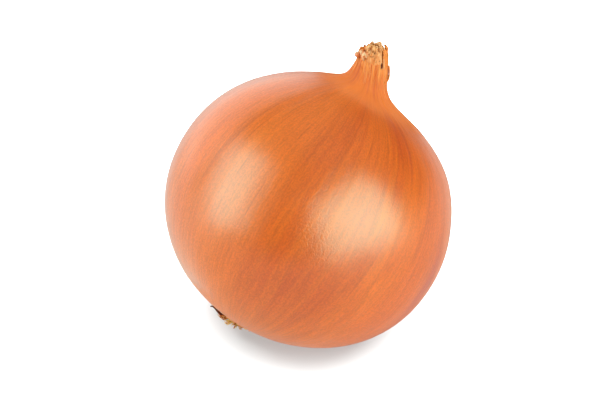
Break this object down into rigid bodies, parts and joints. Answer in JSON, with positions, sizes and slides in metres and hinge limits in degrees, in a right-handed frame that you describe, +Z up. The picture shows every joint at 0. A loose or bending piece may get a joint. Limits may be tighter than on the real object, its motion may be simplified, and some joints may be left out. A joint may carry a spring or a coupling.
{
  "type": "onion",
  "caption": "Dry brown onion bulb with a short withered neck and a tuft of dried roots, resting tilted on its side.",
  "frame": {"origin": "centre of the flat rest spot on the side of the bulb", "axes": "+Z up, away from the surface the onion rests on; +X the way the neck leans"},
  "size_m": [0.0785, 0.08, 0.084],
  "materials": {
    "papery_skin": "satin dry onion skin, orange brown",
    "dry_leaf": "matte withered leaf, straw yellow",
    "dry_root": "matte dried root fibre, brown"
  },
  "bodies": {
    "root": {"bulb": "papery_skin", "skin_curl": "papery_skin", "leaf_end_1": "dry_leaf", "leaf_end_2": "dry_leaf", "leaf_end_3": "dry_leaf", "root_1": "dry_root", "root_2": "dry_root", "root_3": "dry_root", "root_4": "dry_root", "root_5": "dry_root", "root_6": "dry_root", "root_7": "dry_root"}
  },
  "joints": []
}
